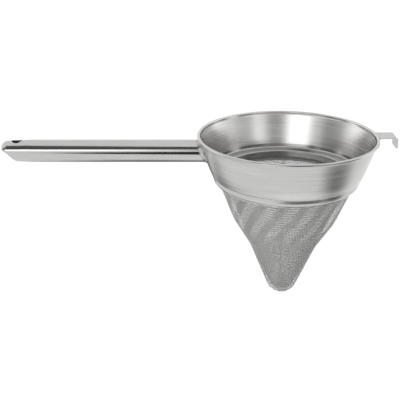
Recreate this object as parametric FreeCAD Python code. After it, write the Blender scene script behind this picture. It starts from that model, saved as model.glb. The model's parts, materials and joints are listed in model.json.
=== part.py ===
import FreeCAD, Part
import math
import os

# A conical kitchen strainer of stainless steel. A spun collar with a wired rim carries an inner
# seat ring, from which a fine mesh cone hangs. A coarse guard cone, held in the collar's neck,
# surrounds the fine one. A tubular handle and a bent pot hook stand opposite each other.
# Millimetres. The origin is the centre of the rim bead, +Z up, handle along -X, hook along +X.

# Collar, spun from one sheet
rim_outer_diameter = 200.0
rim_bead_diameter = 3.3
curl_close_angle = 115.0
collar_sheet = 0.8
collar_height = 53.9
wall_inset = 14.3
wall_knee_inset_share = 0.71
wall_knee_drop_share = 0.766
wall_knee_round = 70.0
wall_top_round = 9.0
shoulder_step = 1.9
shoulder_fall = 1.1
shoulder_round = 1.6
hem_band_height = 5.9
hem_band_round = 3.4
hem_crease_round = 0.8
hem_inset = 5.4
hem_fall = 2.9
neck_height = 1.0
neck_round = 0.6

# Seat ring, pressed into the collar
seat_sheet = 0.8
seat_ledge_rise = 14.3
seat_flange_height = 4.6
seat_flange_round = 2.6
seat_lip_height = 7.4
seat_lip_round = 0.6
seat_lip_setback = 4.6

# Mesh cones, each a shell with a straight cuff, slight knees and a rounded nose
cone_depth = 137.4
cuff_round = 0.9
guard_wall = 0.9
guard_cuff_height = 3.0
guard_knee_round = 45.0
guard_upper_radius_share = 0.7765
guard_upper_depth_share = 0.299
guard_lower_radius_share = 0.513
guard_lower_depth_share = 0.5363
guard_nose_radius_share = 0.1682
guard_nose_round_share = 1.24
fine_wall = 0.5
fine_knee_round = 45.0
fine_nose_radius_share = 0.13
fine_nose_round_share = 1.13
fine_nose_gap = 2.6
mesh_contact_gap = 0.3

# Hoops that clamp the cuffs
hoop_wall = 0.9
hoop_height = 2.4

# Handle, a tube whose rounded nose is cut open from below
handle_diameter = 25.0
handle_wall = 1.2
handle_reach = 216.9
handle_below_rim = 2.6
handle_taper_length = 33.0
handle_taper_fall = 1.5
handle_taper_round = 80.0
handle_nose_round = 8.0
bevel_length = 19.0
bevel_knee_setback = 8.0
bevel_knee_rise = 0.7
bevel_knee_round = 9.0
bevel_nose_rise = 4.4
hang_hole_diameter = 11.0
hang_hole_setback = 18.0

# Fillet weld round the handle's root
weld_length = 4.6
weld_height = 1.9
weld_waist_length_share = 0.42
weld_waist_height_share = 0.26

# Pot hook, a bent strip on the rim
hook_width = 21.0
hook_sheet = 1.2
hook_reach = 20.0
hook_lip_height = 12.6
hook_bend_round = 3.0
hook_corner_round = 2.0
hook_below_bead_top = 0.4
hook_weld_leg = 1.4

# Fits and cuts
fit_gap = 0.05
cut_overrun = 5.0
least_edge = 0.001

# Sizes that follow from those above
rim_outer_radius = rim_outer_diameter / 2
bead_radius = rim_bead_diameter / 2
bead_centre_radius = rim_outer_radius - bead_radius
curl_inner_radius = bead_radius - collar_sheet
wall_top_radius = bead_centre_radius - curl_inner_radius
shoulder_radius = wall_top_radius - wall_inset
hem_radius = shoulder_radius - shoulder_step
neck_radius = hem_radius - hem_inset
neck_inner_radius = neck_radius - collar_sheet
neck_top = neck_height - collar_height
hem_bottom = neck_top + hem_fall
hem_top = hem_bottom + hem_band_height
shoulder_height = hem_top + shoulder_fall
wall_drop = -bead_radius - shoulder_height
seat_ledge_top = seat_ledge_rise - collar_height
seat_ledge_under = seat_ledge_top - seat_sheet
seat_lip_radius = neck_inner_radius - seat_lip_setback
seat_lip_bottom = seat_ledge_top - seat_lip_height
guard_cuff_radius = neck_inner_radius - fit_gap
guard_tip = -collar_height - cone_depth
guard_nose_radius = neck_radius * guard_nose_radius_share
guard_nose_round = guard_nose_radius * guard_nose_round_share
fine_nose_radius = neck_radius * fine_nose_radius_share
fine_nose_round = fine_nose_radius * fine_nose_round_share
fine_cuff_radius = seat_lip_radius + fit_gap + fine_wall
fine_cuff_top = seat_ledge_under - seat_lip_round - fit_gap
fine_cuff_bottom = seat_lip_bottom - fit_gap
handle_radius = handle_diameter / 2
handle_height = -bead_radius - handle_below_rim - handle_radius
handle_tip = -rim_outer_radius - handle_reach
hook_top = bead_radius - hook_below_bead_top
hook_under = hook_top - hook_sheet
hook_tip = rim_outer_radius + hook_reach

middle = FreeCAD.Vector(0, 0, 0)
upward = FreeCAD.Vector(0, 0, 1)
outward = FreeCAD.Vector(1, 0, 0)
sideways = FreeCAD.Vector(0, 1, 0)


def at(across, height):
    """A point of an outline in the X-Z plane."""
    return FreeCAD.Vector(across, 0, height)


def line(start, end):
    return Part.LineSegment(start, end).toShape()


def shifted(corners, shift):
    """The corners of an outline whose sides move by shift to the left of their direction."""
    sides = []
    for start, end in zip(corners, corners[1:]):
        along = (end - start).normalize()
        left = FreeCAD.Vector(-along.z, 0, along.x)
        sides.append((start + left * shift, along, left))
    moved = [sides[0][0]]
    for (here, along, _), (there, next_along, _) in zip(sides, sides[1:]):
        apart = there - here
        turn = along.x * next_along.z - along.z * next_along.x
        reach = (apart.x * next_along.z - apart.z * next_along.x) / turn
        moved.append(here + along * reach)
    moved.append(corners[-1] + sides[-1][2] * shift)
    return moved


def outline(corners, rounds, shift=0):
    """Edges of an open outline, with an arc at each inner corner that has a round."""
    points = shifted(corners, shift)
    edges = []
    start = points[0]
    for before, corner, after, corner_round in zip(points, points[1:], points[2:], rounds):
        arriving = (corner - before).normalize()
        leaving = (after - corner).normalize()
        turn = math.atan2(arriving.x * leaving.z - arriving.z * leaving.x, arriving.dot(leaving))
        radius = corner_round - shift * math.copysign(1, turn) if corner_round else 0
        tangent = radius * math.tan(abs(turn) / 2)
        arc_start = corner - arriving * tangent
        arc_end = corner + leaving * tangent
        if (arc_start - start).Length > least_edge:
            edges.append(line(start, arc_start))
        if radius:
            inward = (leaving - arriving).normalize()
            arc_middle = corner + inward * (radius / math.cos(turn / 2) - radius)
            edges.append(Part.Arc(arc_start, arc_middle, arc_end).toShape())
        start = arc_end
    edges.append(line(start, points[-1]))
    return edges


def first_point(edges):
    return edges[0].Vertexes[0].Point


def last_point(edges):
    return edges[-1].Vertexes[-1].Point


def filled(edges):
    return Part.Face(Part.Wire(Part.__sortEdges__(edges)))


def turned(edges, axis=upward):
    return filled(edges).revolve(middle, axis, 360)


def sheet_section(corners, rounds, wall):
    """Edges round a bent sheet whose near face is the outline and whose wall lies on its right."""
    near = outline(corners, rounds)
    far = outline(corners, rounds, -wall)
    ends = [line(first_point(near), first_point(far)), line(last_point(near), last_point(far))]
    return near + far + ends


def collar_corners():
    """The collar's outer face, from the rim curl down the wall, over the hem band and in to the neck."""
    knee_radius = wall_top_radius - wall_inset * wall_knee_inset_share
    knee_height = -bead_radius - wall_drop * wall_knee_drop_share
    return [
        at(wall_top_radius, 0),
        at(wall_top_radius, -bead_radius),
        at(knee_radius, knee_height),
        at(shoulder_radius, shoulder_height),
        at(hem_radius, hem_top),
        at(hem_radius, hem_bottom),
        at(neck_radius, neck_top),
        at(neck_radius, -collar_height),
    ]


collar_rounds = [
    wall_top_round, wall_knee_round, shoulder_round, hem_crease_round, hem_band_round, neck_round,
]


def curl_point(radius, angle):
    """A point on a circle round the rim wire, its angle counted from the outer side upwards."""
    turn = math.radians(angle)
    return at(bead_centre_radius + radius * math.cos(turn), radius * math.sin(turn))


def collar():
    """Wall, shoulder, hem band and neck, with a rolled rim above."""
    outer = outline(collar_corners(), collar_rounds)
    inner = outline(collar_corners(), collar_rounds, -collar_sheet)
    foot = line(last_point(outer), last_point(inner))
    crown_angle = (180 - curl_close_angle) / 2
    curl = []
    curl_ends = []
    for radius in (curl_inner_radius, bead_radius):
        points = [curl_point(radius, angle) for angle in (180, crown_angle, -curl_close_angle)]
        curl.append(Part.Arc(*points).toShape())
        curl_ends.append(points[-1])
    return turned(outer + inner + curl + [foot, line(*curl_ends)])


def bowl_plug():
    """The filled bowl, a fit gap larger than the collar, that shapes what is welded to its wall."""
    skin = outline(collar_corners(), collar_rounds, fit_gap)
    top = at(0, first_point(skin).z)
    bottom = at(0, last_point(skin).z)
    closing = [line(first_point(skin), top), line(top, bottom), line(bottom, last_point(skin))]
    return turned(skin + closing)


def rim_wire():
    """The stiffening wire inside the rolled rim."""
    return Part.makeTorus(bead_centre_radius, curl_inner_radius - fit_gap)


def wall_radius(height, shift=0):
    """The radius at a height on the collar's wall, of its outer face or of one shifted from that."""
    face = Part.Wire(outline(collar_corners(), collar_rounds, shift))
    level = line(at(0, height), at(rim_outer_radius, height))
    return face.section(level).Vertexes[0].X


def seat_ring():
    """A flange on the collar's wall, a level ledge and a short lip that holds the fine mesh."""
    flange_top = seat_ledge_under + seat_flange_height
    inside_wall = -collar_sheet - fit_gap
    corners = [
        at(wall_radius(flange_top, inside_wall), flange_top),
        at(wall_radius(seat_ledge_under, inside_wall), seat_ledge_under),
        at(seat_lip_radius, seat_ledge_under),
        at(seat_lip_radius, seat_lip_bottom),
    ]
    return turned(sheet_section(corners, [seat_flange_round, seat_lip_round], seat_sheet))


def guard_corners():
    """The guard cone's outer face, from the cuff in the neck to the nose on the centre line."""
    return [
        at(guard_cuff_radius, guard_cuff_height - collar_height),
        at(guard_cuff_radius, -collar_height),
        at(neck_radius * guard_upper_radius_share, -collar_height - cone_depth * guard_upper_depth_share),
        at(neck_radius * guard_lower_radius_share, -collar_height - cone_depth * guard_lower_depth_share),
        at(guard_nose_radius, guard_tip),
        at(0, guard_tip),
    ]


def guard_mesh():
    """The coarse outer cone."""
    rounds = [cuff_round, guard_knee_round, guard_knee_round, guard_nose_round]
    return turned(sheet_section(guard_corners(), rounds, guard_wall))


def fine_mesh():
    """The fine inner cone, straight down to where it meets the guard cone's lower half."""
    inside_guard = shifted(guard_corners(), -guard_wall - mesh_contact_gap)
    fine_tip = guard_tip + guard_wall + fine_nose_gap
    corners = [
        at(fine_cuff_radius, fine_cuff_top),
        at(fine_cuff_radius, fine_cuff_bottom),
        inside_guard[3],
        at(fine_nose_radius, fine_tip),
        at(0, fine_tip),
    ]
    rounds = [cuff_round, fine_knee_round, fine_nose_round]
    return turned(sheet_section(corners, rounds, fine_wall))


def hoop(inner_radius, bottom):
    """A flat hoop round the centre line."""
    ring = Part.makeCylinder(inner_radius + hoop_wall, hoop_height, at(0, bottom))
    return ring.cut(Part.makeCylinder(inner_radius, hoop_height, at(0, bottom)))


def fine_mesh_hoop():
    """Clamps the fine cone's cuff to the seat ring's lip, from outside."""
    return hoop(fine_cuff_radius + fit_gap, fine_cuff_top - hoop_height)


def guard_mesh_hoop():
    """Clamps the guard cone's cuff to the collar's neck, from inside."""
    cuff_top = guard_cuff_height - collar_height
    return hoop(guard_cuff_radius - guard_wall - fit_gap - hoop_wall, cuff_top - hoop_height)


def handle_tube():
    """The hollow handle: saddle cut at the collar, slightly tapered to a nose open from below."""
    corners = [
        at(-neck_radius, handle_radius),
        at(handle_tip + handle_taper_length, handle_radius),
        at(handle_tip, handle_radius - handle_taper_fall),
        at(handle_tip, 0),
    ]
    rounds = [handle_taper_round, handle_nose_round]
    outer = outline(corners, rounds)
    inner = outline(corners, rounds, handle_wall)
    ends = [line(first_point(outer), first_point(inner)), line(last_point(outer), last_point(inner))]
    tube = turned(outer + inner + ends, outward)
    low = -handle_radius - cut_overrun
    beyond = handle_tip - cut_overrun
    bevel = [
        at(handle_tip + bevel_length, low),
        at(handle_tip + bevel_length, -handle_radius),
        at(handle_tip + bevel_knee_setback, bevel_knee_rise),
        at(handle_tip, bevel_nose_rise),
        at(beyond, bevel_nose_rise),
        at(beyond, low),
    ]
    bevel_edges = outline(bevel, [0, bevel_knee_round, 0, 0]) + [line(bevel[-1], bevel[0])]
    bevel_face = filled(bevel_edges)
    bevel_face.translate(sideways * -handle_radius)
    tube = tube.cut(bevel_face.extrude(sideways * handle_diameter))
    hole_length = handle_radius + cut_overrun
    hole = Part.makeCylinder(hang_hole_diameter / 2, hole_length, at(handle_tip + hang_hole_setback, 0))
    tube = tube.cut(hole)
    tube.translate(at(0, handle_height))
    return tube.cut(bowl_plug())


def handle_weld():
    """A hollow fillet weld round the handle's root, slanted like the collar's wall."""
    near = handle_radius + fit_gap
    root = -wall_radius(handle_height)
    corners = [
        at(root - weld_length, near),
        at(root - weld_length * weld_waist_length_share, near + weld_height * weld_waist_height_share),
        at(root, near + weld_height),
        at(-neck_radius, near + weld_height),
        at(-neck_radius, near),
    ]
    edges = [Part.Arc(*corners[:3]).toShape()]
    edges += [line(a, b) for a, b in zip(corners[2:], corners[3:] + corners[:1])]
    upper_radius = wall_radius(handle_height + handle_radius)
    lower_radius = wall_radius(handle_height - handle_radius)
    slant = FreeCAD.Matrix()
    slant.A13 = (lower_radius - upper_radius) / handle_diameter
    fillet = turned(edges, outward).transformGeometry(slant)
    fillet.translate(at(0, handle_height))
    return fillet.cut(bowl_plug())


def rim_bead():
    """The whole rim bead, a fit gap larger than the rolled rim."""
    return Part.makeTorus(bead_centre_radius, bead_radius + fit_gap)


def pot_hook():
    """A strip level with the rim, bent down at its end, its inner end shaped to the rim bead."""
    low = hook_top - hook_lip_height
    corners = [at(bead_centre_radius, hook_top), at(hook_tip, hook_top), at(hook_tip, low)]
    section = filled(sheet_section(corners, [hook_bend_round], hook_sheet))
    section.translate(sideways * (-hook_width / 2))
    strip = section.extrude(sideways * hook_width)
    lip_corners = [
        edge for edge in strip.Edges
        if all(abs(vertex.Z - low) < least_edge for vertex in edge.Vertexes)
        and abs(edge.Vertexes[0].Y - edge.Vertexes[-1].Y) < least_edge
    ]
    return strip.makeFillet(hook_corner_round, lip_corners).cut(rim_bead())


def hook_weld():
    """A fillet weld under the strip, along the rim bead."""
    corners = [
        at(bead_centre_radius, hook_under - fit_gap),
        at(rim_outer_radius + hook_weld_leg, hook_under - fit_gap),
        at(rim_outer_radius, hook_under - hook_weld_leg),
        at(bead_centre_radius, hook_under - hook_weld_leg),
    ]
    section = filled([line(a, b) for a, b in zip(corners, corners[1:] + corners[:1])])
    half_angle = math.degrees(math.asin(hook_width / 2 / rim_outer_radius))
    section.rotate(middle, upward, -half_angle)
    return section.revolve(middle, upward, half_angle * 2).cut(rim_bead())


pieces = [
    collar, rim_wire, seat_ring, guard_mesh, guard_mesh_hoop, fine_mesh, fine_mesh_hoop,
    handle_tube, handle_weld, pot_hook, hook_weld,
]

os.makedirs("parts", exist_ok=True)
for piece in pieces:
    shape = piece().Solids[0]
    print(piece.__name__, "valid" if shape.isValid() else "not valid", round(shape.Volume), "cubic mm")
    shape.exportStep("parts/" + piece.__name__ + ".step")
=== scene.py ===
import bisect
import json
import math

import bmesh
import bpy
from mathutils import Matrix, Vector


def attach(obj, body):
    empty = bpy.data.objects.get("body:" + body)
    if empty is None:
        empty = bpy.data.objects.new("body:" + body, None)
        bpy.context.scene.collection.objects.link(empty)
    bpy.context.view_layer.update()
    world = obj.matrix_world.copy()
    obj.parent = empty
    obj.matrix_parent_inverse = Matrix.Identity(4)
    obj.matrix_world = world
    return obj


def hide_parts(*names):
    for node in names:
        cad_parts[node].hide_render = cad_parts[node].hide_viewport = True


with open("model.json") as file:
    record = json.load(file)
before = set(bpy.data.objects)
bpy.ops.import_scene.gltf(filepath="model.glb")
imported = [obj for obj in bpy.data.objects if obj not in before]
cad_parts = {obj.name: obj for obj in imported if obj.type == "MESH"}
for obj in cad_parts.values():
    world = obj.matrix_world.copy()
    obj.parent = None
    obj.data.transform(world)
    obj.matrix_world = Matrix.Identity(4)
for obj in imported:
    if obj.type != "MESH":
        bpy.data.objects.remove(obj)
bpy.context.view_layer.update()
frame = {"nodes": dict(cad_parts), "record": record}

mm = 0.001


# Shader helpers

def material(name):
    """A new metal finish, with its node tree and its shader."""
    finish = bpy.data.materials.new(name)
    finish.use_nodes = True
    tree = finish.node_tree
    shader = tree.nodes["Principled BSDF"]
    shader.inputs["Metallic"].default_value = 1.0
    return finish, tree, shader


def add(tree, kind, inputs=None, **settings):
    """Adds a node. An input is a value or another node's socket."""
    node = tree.nodes.new(kind)
    for key, value in settings.items():
        setattr(node, key, value)
    for key, value in (inputs or {}).items():
        if isinstance(value, bpy.types.NodeSocket):
            tree.links.new(value, node.inputs[key])
        else:
            node.inputs[key].default_value = value
    return node


def maths(tree, operation, *numbers):
    """A number worked out from others."""
    return add(tree, "ShaderNodeMath", dict(enumerate(numbers)), operation=operation).outputs[0]


def vectors(tree, operation, *operands):
    """What an operation on vectors gives: sockets called Vector and Value."""
    return add(tree, "ShaderNodeVectorMath", dict(enumerate(operands)), operation=operation).outputs


def noise(tree, place, detail, roughness):
    inputs = {"Vector": place, "Scale": 1.0, "Detail": detail, "Roughness": roughness}
    return add(tree, "ShaderNodeTexNoise", inputs).outputs["Fac"]


def stretched_noise(tree, place, cells, detail):
    """Noise with so many cells in a metre, one number for each axis."""
    stretched = vectors(tree, "MULTIPLY", place, cells)["Vector"]
    return noise(tree, stretched, detail, roughness=0.6)


def spread(tree, value, low, high, start=0.3, end=0.7):
    """A value from start to end becomes one from low to high. Noise lies mostly between 0.3 and 0.7."""
    inputs = {"Value": value, "From Min": start, "From Max": end, "To Min": low, "To Max": high}
    return add(tree, "ShaderNodeMapRange", inputs).outputs["Result"]


def tint(tree, share, dark, light):
    """A colour between dark and light, each of them a colour or a socket."""
    inputs = {"Factor": share}
    for key, colour in (("A", dark), ("B", light)):
        inputs[key] = colour if isinstance(colour, bpy.types.NodeSocket) else (*colour, 1)
    return add(tree, "ShaderNodeMix", inputs, data_type="RGBA").outputs["Result"]


def object_place(tree):
    return add(tree, "ShaderNodeTexCoord").outputs["Object"]


def object_facing(tree):
    """The way that the surface looks, in the object's own axes."""
    return add(tree, "ShaderNodeTexCoord").outputs["Normal"]


def outwardness(tree, place, across, offset=(0.0, 0.0, 0.0)):
    """1 where the surface looks straight away from an axis, -1 where it looks at it."""
    from_axis = vectors(tree, "MULTIPLY_ADD", place, across, offset)["Vector"]
    outward = vectors(tree, "NORMALIZE", from_axis)["Vector"]
    return vectors(tree, "DOT_PRODUCT", outward, object_facing(tree))["Value"]


def surface(tree, shader, colour, roughness, relief=None):
    """Links a finish's colour, roughness and relief, which is a height, a strength and a depth."""
    tree.links.new(colour, shader.inputs["Base Color"])
    tree.links.new(roughness, shader.inputs["Roughness"])
    if relief is not None:
        height, strength, depth = relief
        bump = add(tree, "ShaderNodeBump", {"Height": height, "Strength": strength, "Distance": depth})
        tree.links.new(bump.outputs[0], shader.inputs["Normal"])


# Finishes

# Outwardness below which a wall counts as seen from inside, and above which as seen from outside
inner_side = -0.6
outer_side = -0.2


def spun_steel(name, dark, light, dullness):
    """Satin steel, brushed in rings by spinning, with its inner faces painted brighter as painted light
    bounced inside the bowl, and polished on the rim bead.
    """
    fine_rings = 2600.0
    broad_rings = 320.0
    change_round = 14.0
    fine_share = 0.35
    inner_painted_gain = 1.2
    bead_share = 0.4
    polish_starts = -2.4 * mm
    polish_full = -1.6 * mm

    finish, tree, shader = material(name)
    place = object_place(tree)
    height = add(tree, "ShaderNodeSeparateXYZ", {0: place}).outputs["Z"]
    level = vectors(tree, "MULTIPLY", place, (1.0, 1.0, 0.0))["Vector"]
    radius = vectors(tree, "LENGTH", level)["Value"]
    ring = add(tree, "ShaderNodeCombineXYZ", {0: radius, 1: height, 2: 0.0}).outputs[0]
    along = vectors(tree, "MULTIPLY", place, (change_round, change_round, 0.0))["Vector"]
    fine = vectors(tree, "MULTIPLY_ADD", ring, (fine_rings, fine_rings, 0.0), along)["Vector"]
    broad = vectors(tree, "MULTIPLY_ADD", ring, (broad_rings, broad_rings, 0.0), along)["Vector"]
    lines = noise(tree, fine, detail=4.0, roughness=0.5)
    bands = noise(tree, broad, detail=2.0, roughness=0.5)
    brushing = maths(tree, "ADD", maths(tree, "MULTIPLY", lines, fine_share),
                     maths(tree, "MULTIPLY", bands, 1.0 - fine_share))
    smudge = stretched_noise(tree, place, (22.0, 22.0, 34.0), detail=4.0)

    # Inner faces get a lighter colour: painted light standing in for light bounced round inside the bowl
    outward = outwardness(tree, place, across=(1.0, 1.0, 0.0))
    painted_light_gain = spread(tree, outward, inner_painted_gain, 1.0, inner_side, outer_side)
    brushed = tint(tree, spread(tree, brushing, 0.0, 1.0), dark, light)
    painted_light_colour = add(tree, "ShaderNodeVectorMath", {0: brushed, "Scale": painted_light_gain}, operation="SCALE")
    worn = maths(tree, "ADD", spread(tree, brushing, dullness, dullness + 0.06),
                 spread(tree, smudge, -0.01, 0.02))
    polish = spread(tree, height, 1.0, bead_share, polish_starts, polish_full)
    roughness = maths(tree, "MULTIPLY", worn, polish)
    surface(tree, shader, painted_light_colour.outputs["Vector"], roughness, relief=(brushing, 0.075, 0.2 * mm))
    shader.inputs["Anisotropic"].default_value = 0.2
    shader.inputs["Anisotropic Rotation"].default_value = 0.25
    round_axis = add(tree, "ShaderNodeTangent", direction_type="RADIAL", axis="Z")
    tree.links.new(round_axis.outputs[0], shader.inputs["Tangent"])
    return finish


def polished_steel():
    """Bright tube steel with faint polishing lines along the tube; the tube's inside is painted near black as
    painted shade, and is duller.
    """
    tube_axis_drop = 16.75 * mm
    inside_shade_colour = (0.05, 0.048, 0.046)
    inside_dullness = 0.4

    finish, tree, shader = material("polished_steel")
    place = object_place(tree)
    lines = stretched_noise(tree, place, (45.0, 1500.0, 1500.0), detail=4.0)
    smudge = stretched_noise(tree, place, (30.0, 60.0, 60.0), detail=5.0)
    outward = outwardness(tree, place, across=(0.0, 1.0, 1.0), offset=(0.0, 0.0, tube_axis_drop))
    outside = spread(tree, outward, 0.0, 1.0, inner_side, outer_side)
    clean = tint(tree, spread(tree, smudge, 0.0, 1.0), (0.50, 0.497, 0.49), (0.55, 0.547, 0.54))
    # The inside of the tube is painted near black: painted shade for the tube's dark hollow
    colour = tint(tree, outside, inside_shade_colour, clean)
    worn = maths(tree, "ADD", spread(tree, lines, 0.10, 0.14), spread(tree, smudge, 0.0, 0.03))
    inside_dulling = spread(tree, outside, inside_dullness, 0.0, 0.0, 1.0)
    surface(tree, shader, colour, maths(tree, "ADD", worn, inside_dulling), relief=(lines, 0.03, 0.1 * mm))
    return finish


def strip_steel():
    """Rolled strip, satin, with its grain along the strip, and duller sheared edges painted near white as a
    painted highlight.
    """
    edge_highlight_colour = (0.92, 0.915, 0.91)
    edge_dullness = 0.35

    finish, tree, shader = material("strip_steel")
    place = object_place(tree)
    lines = stretched_noise(tree, place, (120.0, 2600.0, 120.0), detail=4.0)
    smudge = stretched_noise(tree, place, (90.0, 90.0, 90.0), detail=4.0)
    sideways = add(tree, "ShaderNodeSeparateXYZ", {0: object_facing(tree)}).outputs["Y"]
    side_faces = spread(tree, maths(tree, "ABSOLUTE", sideways), 0.0, 1.0, 0.6, 0.9)
    rolled = tint(tree, spread(tree, lines, 0.0, 1.0), (0.50, 0.497, 0.49), (0.58, 0.575, 0.57))
    # The side faces are painted near white: a painted highlight along the strip's edges
    colour = tint(tree, side_faces, rolled, edge_highlight_colour)
    worn = maths(tree, "ADD", spread(tree, lines, 0.30, 0.38), spread(tree, smudge, -0.02, 0.03))
    roughness = maths(tree, "ADD", worn, maths(tree, "MULTIPLY", side_faces, edge_dullness))
    surface(tree, shader, colour, roughness, relief=(lines, 0.06, 0.2 * mm))
    return finish


def weld_steel():
    """Ground weld metal, with the beads still faintly there."""
    finish, tree, shader = material("weld_steel")
    place = object_place(tree)
    lumps = stretched_noise(tree, place, (700.0, 700.0, 700.0), detail=3.0)
    tone = stretched_noise(tree, place, (160.0, 160.0, 160.0), detail=4.0)
    colour = tint(tree, spread(tree, tone, 0.0, 1.0), (0.42, 0.412, 0.40), (0.54, 0.535, 0.525))
    surface(tree, shader, colour, spread(tree, lumps, 0.24, 0.38), relief=(lumps, 0.25, 0.3 * mm))
    return finish


def wire_steel():
    """Drawn rim wire and rolled hoop strip, a little dull."""
    finish, tree, shader = material("wire_steel")
    place = object_place(tree)
    tone = stretched_noise(tree, place, (60.0, 60.0, 240.0), detail=3.0)
    colour = tint(tree, spread(tree, tone, 0.0, 1.0), (0.42, 0.417, 0.41), (0.52, 0.517, 0.51))
    surface(tree, shader, colour, spread(tree, tone, 0.28, 0.38))
    return finish


def woven_steel(name, dark, light):
    """Drawn wire of a woven cone, with duller and cleaner patches."""
    finish, tree, shader = material(name)
    place = object_place(tree)
    tone = stretched_noise(tree, place, (55.0, 55.0, 40.0), detail=3.0)
    colour = tint(tree, spread(tree, tone, 0.0, 1.0), dark, light)
    surface(tree, shader, colour, spread(tree, tone, 0.5, 0.6))
    return finish


def guard_weft_steel():
    """Crosswise wire of the guard cone: painted highlights as slanted bright columns above its waist,
    standing in for glints on the wires, and a brighter nose.
    """
    columns_round = 19.0
    columns_turn = 3.3
    columns_wander = 2.0
    slant_front = 8.5
    slant_side = -4.0
    slant_level = 75 * mm
    side_share = 0.35
    waist_low = -112 * mm
    waist_high = -92 * mm
    nose_high = -168 * mm
    nose_low = -182 * mm
    nose_share = 0.45
    foot_share = 0.12

    finish, tree, shader = material("guard_weft_steel")
    place = object_place(tree)
    axes = add(tree, "ShaderNodeSeparateXYZ", {0: place}).outputs
    height = axes["Z"]
    turn = maths(tree, "ARCTAN2", axes["X"], maths(tree, "MULTIPLY", axes["Y"], -1.0))
    side = maths(tree, "SINE", turn)
    # The slanted bright columns are painted highlights, standing in for glints on the wires
    wander = stretched_noise(tree, place, (38.0, 38.0, 38.0), detail=2.0)
    slant = maths(tree, "MULTIPLY_ADD", side, slant_side, slant_front)
    shift = maths(tree, "MULTIPLY", maths(tree, "ADD", height, slant_level), slant)
    phase = maths(tree, "MULTIPLY_ADD", maths(tree, "SUBTRACT", turn, shift), columns_round, columns_turn)
    phase = maths(tree, "MULTIPLY_ADD", wander, columns_wander, phase)
    glint_columns = spread(tree, maths(tree, "SINE", phase), 0.0, 1.0, -0.5, 0.4)
    fading = spread(tree, maths(tree, "ABSOLUTE", side), 1.0, side_share, 0.8, 0.95)
    above = spread(tree, height, 0.0, 1.0, waist_low, waist_high)
    upper_glints = maths(tree, "MULTIPLY", maths(tree, "MULTIPLY", glint_columns, fading), above)
    nose = spread(tree, height, 0.0, nose_share, nose_high, nose_low)
    foot = spread(tree, above, foot_share, 0.0, 0.0, 1.0)
    bright = maths(tree, "MAXIMUM", maths(tree, "MAXIMUM", upper_glints, nose), foot)
    colour = tint(tree, bright, (0.58, 0.577, 0.57), (0.97, 0.967, 0.96))
    surface(tree, shader, colour, spread(tree, wander, 0.5, 0.6))
    return finish


# The two woven cones, on the outer profiles of their solids: radius and height of each corner in millimetres

guard_profile = [
    (75.05, -50.9), (75.05, -53.9), (58.94, -94.98), (38.94, -127.59), (12.77, -191.3), (0.0, -191.3),
]
guard_rounds = [0.9, 45.0, 45.0, 15.8]
fine_profile = [(71.05, -41.05), (71.05, -47.05), (37.87, -127.06), (9.87, -187.8), (0.0, -187.8)]
fine_rounds = [0.9, 45.0, 11.1]
round_segments = 10

# Each sheet is a flat sector that rolls into a cone of this half angle, middle line a little left of front
half_angle = math.radians(25.4)
lean = math.sin(half_angle)
middle_turn = math.radians(-4)

# Nearer the tip than nose_reach a point's reach follows the nose's radius, and wires leave a gap at the axis
nose_reach = 30 * mm
least_step = 0.1 * mm
tip_gap = 0.4 * mm

# Share of the pitch by which each edge runs past the seam
seam_lap = 0.7


def rounded_line(corners, rounds):
    """A line of points in the X-Z plane, in metres, with its inner corners rounded by a vertex bevel."""
    mesh = bmesh.new()
    points = [mesh.verts.new((across * mm, 0, height * mm)) for across, height in corners]
    for start, end in zip(points, points[1:]):
        mesh.edges.new((start, end))
    turns = []
    for before, corner, after in zip(points, points[1:], points[2:]):
        turns.append((corner.co - before.co).angle(after.co - corner.co))
    first = points[0].co.copy()
    for corner, radius, turn in zip(points[1:-1], rounds, turns):
        bmesh.ops.bevel(mesh, geom=[corner], affect="VERTICES", offset=radius * mm * math.tan(turn / 2),
                        offset_type="OFFSET", segments=round_segments, profile=0.5, material=-1)
    here = min(mesh.verts, key=lambda point: (point.co - first).length)
    line = []
    came = None
    while here is not None:
        line.append(here.co.copy())
        onward = [edge for edge in here.link_edges if edge is not came]
        came = onward[0] if onward else None
        here = came.other_vert(here) if came else None
    mesh.free()
    return line


class Sheet:
    """A flat sheet rolled into a cone: gives the place on the cone of a point on the sheet."""

    def __init__(self, corners, rounds, inset):
        line = rounded_line(corners, rounds)
        reach = line[0].x / lean
        self.inset = inset
        self.top = reach
        self.rows = [(reach, line[0], Vector((1, 0, 0)))]
        for before, here in zip(line, line[1:]):
            to_axis = here.x / lean
            onward = reach - (here - before).length if to_axis > nose_reach else to_axis
            reach = min(onward, reach - least_step)
            along = (here - before).normalized()
            self.rows.append((max(reach, 0.0), here, Vector((-along.z, 0, along.x))))
        self.falls = [-row[0] for row in self.rows]

    def at(self, across, upward, lift):
        reach = math.hypot(across, upward)
        row = min(max(bisect.bisect_left(self.falls, -reach), 1), len(self.rows) - 1)
        above, below = self.rows[row - 1], self.rows[row]
        span = above[0] - below[0]
        share = min(max((above[0] - reach) / span, 0.0), 1.0) if span else 0.0
        out = above[2].lerp(below[2], share).normalized()
        spot = above[1].lerp(below[1], share) + out * (lift - self.inset)
        angle = middle_turn + math.atan2(across, upward) / lean
        return Vector((spot.x * math.sin(angle), -spot.x * math.cos(angle), spot.z))


def lay_wire(curve, run):
    """Adds one wire to the curve, through two points or more."""
    if len(run) < 2:
        return
    spline = curve.splines.new("POLY")
    spline.points.add(len(run) - 1)
    for point, place in zip(spline.points, run):
        point.co = (*place, 1)
    spline.use_smooth = True


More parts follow.
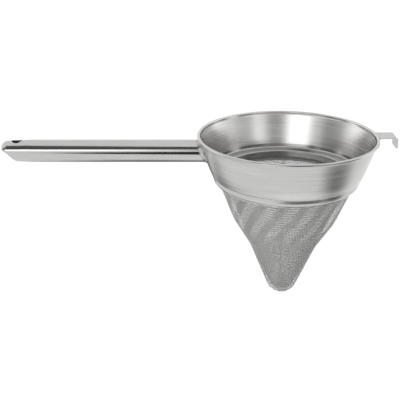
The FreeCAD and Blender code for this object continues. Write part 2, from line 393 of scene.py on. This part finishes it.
def woven_wires(name, sheet, wire, crosswise, finish, pitch, lift, steps, sides, part=0, parts=1):
    """One set of a cone's wires as a curve: straight on the flat sheet, over and under the other set."""
    curve = bpy.data.curves.new(name, "CURVE")
    curve.dimensions = "3D"
    curve.bevel_depth = wire / 2
    curve.bevel_resolution = sides
    curve.use_fill_caps = False
    half_sector = math.pi * lean
    count = int(sheet.top / pitch) + 1
    for i in range(-count, count + 1):
        if i % parts != part:
            continue
        fixed = (i + 0.5) * pitch
        run = []
        for j in range(-count * steps, count * steps + 1):
            other = j * pitch / steps + 0.5 * pitch
            across, upward = (other, fixed) if crosswise else (fixed, other)
            reach = math.hypot(across, upward)
            past_seam = reach * (abs(math.atan2(across, upward)) - half_sector)
            if tip_gap < reach <= sheet.top and past_seam <= seam_lap * pitch:
                wave = math.cos(math.pi * (j / steps + i + (1 if crosswise else 0)))
                run.append(sheet.at(across, upward, lift * wave))
            else:
                lay_wire(curve, run)
                run = []
        lay_wire(curve, run)
    piece = bpy.data.objects.new(name, curve)
    bpy.context.scene.collection.objects.link(piece)
    curve.materials.append(finish)
    return piece


# Studio

floor_height = -0.46
floor_radius = 12.0
floor_colour = (0.8, 0.8, 0.8, 1)
floor_lift = 0.24
white = (1, 1, 1, 1)


def stage_object(name, mesh):
    """An object of the studio from a bmesh, with an empty material."""
    data = bpy.data.meshes.new(name)
    mesh.to_mesh(data)
    mesh.free()
    thing = bpy.data.objects.new(name, data)
    bpy.context.scene.collection.objects.link(thing)
    finish = bpy.data.materials.new(name)
    finish.use_nodes = True
    finish.node_tree.nodes.clear()
    data.materials.append(finish)
    return thing, finish.node_tree


def soft_edge(tree, off_middle, soft):
    """1 over a panel's middle, falling to 0 at its edge over the soft share of the way."""
    inputs = {"Value": off_middle, "From Min": 0.5, "From Max": 0.5 - 0.5 * soft}
    return add(tree, "ShaderNodeMapRange", inputs, interpolation_type="SMOOTHSTEP").outputs[0]


def hang(name, turn, rise, width, height, distance, strength, soft, roll=0.0, oval=False):
    """Hangs a soft-edged panel that faces the object and only shows in reflections. Angles are in degrees."""
    mesh = bmesh.new()
    bmesh.ops.create_grid(mesh, x_segments=1, y_segments=1, size=0.5)
    uv = mesh.loops.layers.uv.new("panel")
    for face in mesh.faces:
        for loop in face.loops:
            loop[uv].uv = (loop.vert.co.x + 0.5, loop.vert.co.y + 0.5)
    panel, tree = stage_object(name, mesh)

    turn, rise = math.radians(turn), math.radians(rise)
    way = Vector((math.sin(turn) * math.cos(rise), -math.cos(turn) * math.cos(rise), math.sin(rise)))
    facing = (-way).to_track_quat("Z", "Y").to_matrix().to_4x4()
    wide = 2 * distance * math.tan(math.radians(width) / 2)
    high = 2 * distance * math.tan(math.radians(height) / 2)
    panel.matrix_world = (Matrix.Translation(way * distance) @ facing
                          @ Matrix.Rotation(math.radians(roll), 4, "Z") @ Matrix.Diagonal((wide, high, 1, 1)))

    place = add(tree, "ShaderNodeTexCoord").outputs["UV"]
    if oval:
        share = soft_edge(tree, vectors(tree, "DISTANCE", place, (0.5, 0.5, 0.0))["Value"], soft)
    else:
        axes = add(tree, "ShaderNodeSeparateXYZ", {0: place}).outputs
        shares = []
        for axis in ("X", "Y"):
            off_middle = maths(tree, "ABSOLUTE", maths(tree, "SUBTRACT", axes[axis], 0.5))
            shares.append(soft_edge(tree, off_middle, soft))
        share = maths(tree, "MULTIPLY", *shares)
    glow = add(tree, "ShaderNodeEmission", {"Color": white, "Strength": strength})
    clear = add(tree, "ShaderNodeBsdfTransparent")
    mix = add(tree, "ShaderNodeMixShader", {0: share, 1: clear.outputs[0], 2: glow.outputs[0]})
    add(tree, "ShaderNodeOutputMaterial", {0: mix.outputs[0]})
    panel.visible_camera = False
    panel.visible_shadow = False
    panel.visible_diffuse = False


def pale_floor():
    """A pale floor well below the strainer, lifted to white where it is seen."""
    mesh = bmesh.new()
    bmesh.ops.create_circle(mesh, cap_ends=True, segments=96, radius=floor_radius)
    bmesh.ops.translate(mesh, verts=mesh.verts, vec=(0, 0, floor_height))
    floor, tree = stage_object("floor", mesh)
    path = add(tree, "ShaderNodeLightPath").outputs
    seen = maths(tree, "MAXIMUM", path["Is Camera Ray"], path["Is Glossy Ray"])
    seen = maths(tree, "MAXIMUM", seen, path["Is Transmission Ray"])
    strength = maths(tree, "MULTIPLY", seen, floor_lift)
    matt = add(tree, "ShaderNodeBsdfDiffuse", {"Color": floor_colour})
    lift = add(tree, "ShaderNodeEmission", {"Color": white, "Strength": strength})
    both = add(tree, "ShaderNodeAddShader", {0: matt.outputs[0], 1: lift.outputs[0]})
    add(tree, "ShaderNodeOutputMaterial", {0: both.outputs[0]})


def studio():
    """White surroundings, the floor, and light and dark panels for the steel to reflect."""
    scene = bpy.context.scene
    scene.view_settings.view_transform = "Standard"
    world = bpy.data.worlds.new("studio")
    scene.world = world
    world.use_nodes = True
    background = world.node_tree.nodes["Background"]
    background.inputs["Color"].default_value = white
    background.inputs["Strength"].default_value = 1.0
    pale_floor()

    # Far panels, above the level of the rim
    hang("front_light", turn=-23.5, rise=21, width=42, height=18, distance=4.9, strength=2.6, soft=0.55)
    hang("front_high_flag", turn=-4, rise=43.4, width=100, height=33, distance=5, strength=0.1, soft=0.3)
    hang("left_high_flag", turn=-39, rise=57, width=34, height=22, distance=4.9, strength=0.12, soft=0.5)
    hang("front_grey", turn=11, rise=21, width=30, height=24, distance=5, strength=0.36, soft=0.6)
    hang("right_front_light", turn=38, rise=12.5, width=36, height=14, distance=5, strength=2.3, soft=0.95)
    hang("right_high_flag", turn=59, rise=23, width=38, height=18, distance=4.9, strength=0.16, soft=0.4)
    hang("right_back_light", turn=108, rise=4, width=54, height=20, distance=5, strength=1.7, soft=0.8)
    hang("left_flag", turn=-75, rise=20, width=46, height=24, distance=5, strength=0.16, soft=0.6)
    hang("left_back_light", turn=-114, rise=8, width=46, height=26, distance=5, strength=1.6, soft=0.9)

    # Near panels, low down round the strainer
    hang("front_low_flag", turn=18, rise=-12, width=84, height=39, distance=0.95, strength=0.03, soft=0.15,
         roll=7, oval=True)
    hang("hem_flag", turn=70, rise=-12, width=46, height=38, distance=0.94, strength=0.03, soft=0.3,
         oval=True)
    hang("right_low_flag", turn=74, rise=-44, width=58, height=28, distance=0.52, strength=0.12, soft=0.9,
         oval=True)
    hang("front_floor_glow", turn=8, rise=-64, width=60, height=26, distance=0.45, strength=1.25, soft=0.9,
         oval=True)
    hang("back_floor_flag", turn=-146, rise=-55, width=72, height=62, distance=0.38, strength=0.3, soft=0.6)
    hang("back_left_flag", turn=-157, rise=-27, width=26, height=12, distance=0.61, strength=0.03, soft=0.6)


camera_place = (-0.101339, -0.811311, 0.254723)
camera_turn = -0.334
camera_fall = 22.171
camera_roll = 0.095
camera_lens = 69.151
camera_sensor = 36.0


def camera():
    """The photograph's view: place, turn and lens."""
    data = bpy.data.cameras.new("camera")
    data.sensor_width = camera_sensor
    data.lens = camera_lens
    data.clip_end = 100.0
    view = bpy.data.objects.new("camera", data)
    bpy.context.scene.collection.objects.link(view)
    turn = Matrix.Rotation(math.radians(camera_turn), 4, "Z")
    tilt = Matrix.Rotation(math.radians(90 - camera_fall), 4, "X")
    roll = Matrix.Rotation(math.radians(camera_roll), 4, "Z")
    view.matrix_world = Matrix.Translation(camera_place) @ turn @ tilt @ roll
    bpy.context.scene.camera = view


def dress(node, finish):
    """Gives a solid piece its finish."""
    node.data.materials.clear()
    node.data.materials.append(finish)


camera()
studio()

# The solid pieces keep their shape and get a finish each

finishes = {
    "spun_steel": spun_steel("spun_steel", (0.48, 0.477, 0.47), (0.60, 0.595, 0.587), 0.22),
    "polished_steel": polished_steel(),
    "strip_steel": strip_steel(),
    "weld_steel": weld_steel(),
    "wire_steel": wire_steel(),
}
# The seat ring's steel is given a darker colour: painted shade for the dim ledge at the foot of the bowl
shade_darkened_steel = spun_steel("shade_darkened_steel", (0.32, 0.317, 0.31), (0.42, 0.417, 0.41), 0.13)
for row in frame["record"]["subparts"]:
    if row["material_slot"] in finishes:
        dress(frame["nodes"][row["node"]], finishes[row["material_slot"]])
dress(frame["nodes"]["seat_ring"], shade_darkened_steel)

# Woven wires take the place of the two mesh shells. The fine sets are split to keep each piece small

warp_steel = woven_steel("warp_steel", (0.58, 0.577, 0.57), (0.64, 0.637, 0.63))
fine_steel = woven_steel("fine_steel", (0.52, 0.517, 0.51), (0.58, 0.577, 0.57))
weft_steel = guard_weft_steel()
guard_sheet = Sheet(guard_profile, guard_rounds, inset=0.6 * mm)
fine_sheet = Sheet(fine_profile, fine_rounds, inset=0.3 * mm)
guard_weave = {"pitch": 3.5 * mm, "lift": 0.3 * mm, "steps": 2, "sides": 1}
fine_weave = {"pitch": 0.9 * mm, "lift": 0.13 * mm, "steps": 1, "sides": 0}
fine_wire = 0.34 * mm
fine_parts = 2

guard_sets = [("guard_warp", 0.42 * mm, False, warp_steel), ("guard_weft", 0.8 * mm, True, weft_steel)]
for name, wire, crosswise, finish in guard_sets:
    piece = woven_wires(name, guard_sheet, wire, crosswise, finish, **guard_weave)
    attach(piece, "root")
    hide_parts("guard_mesh")
for crosswise, word in ((False, "warp"), (True, "weft")):
    for part in range(fine_parts):
        piece = woven_wires("fine_%s_%d" % (word, part), fine_sheet, fine_wire, crosswise, fine_steel,
                            part=part, parts=fine_parts, **fine_weave)
        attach(piece, "root")
        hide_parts("fine_mesh")
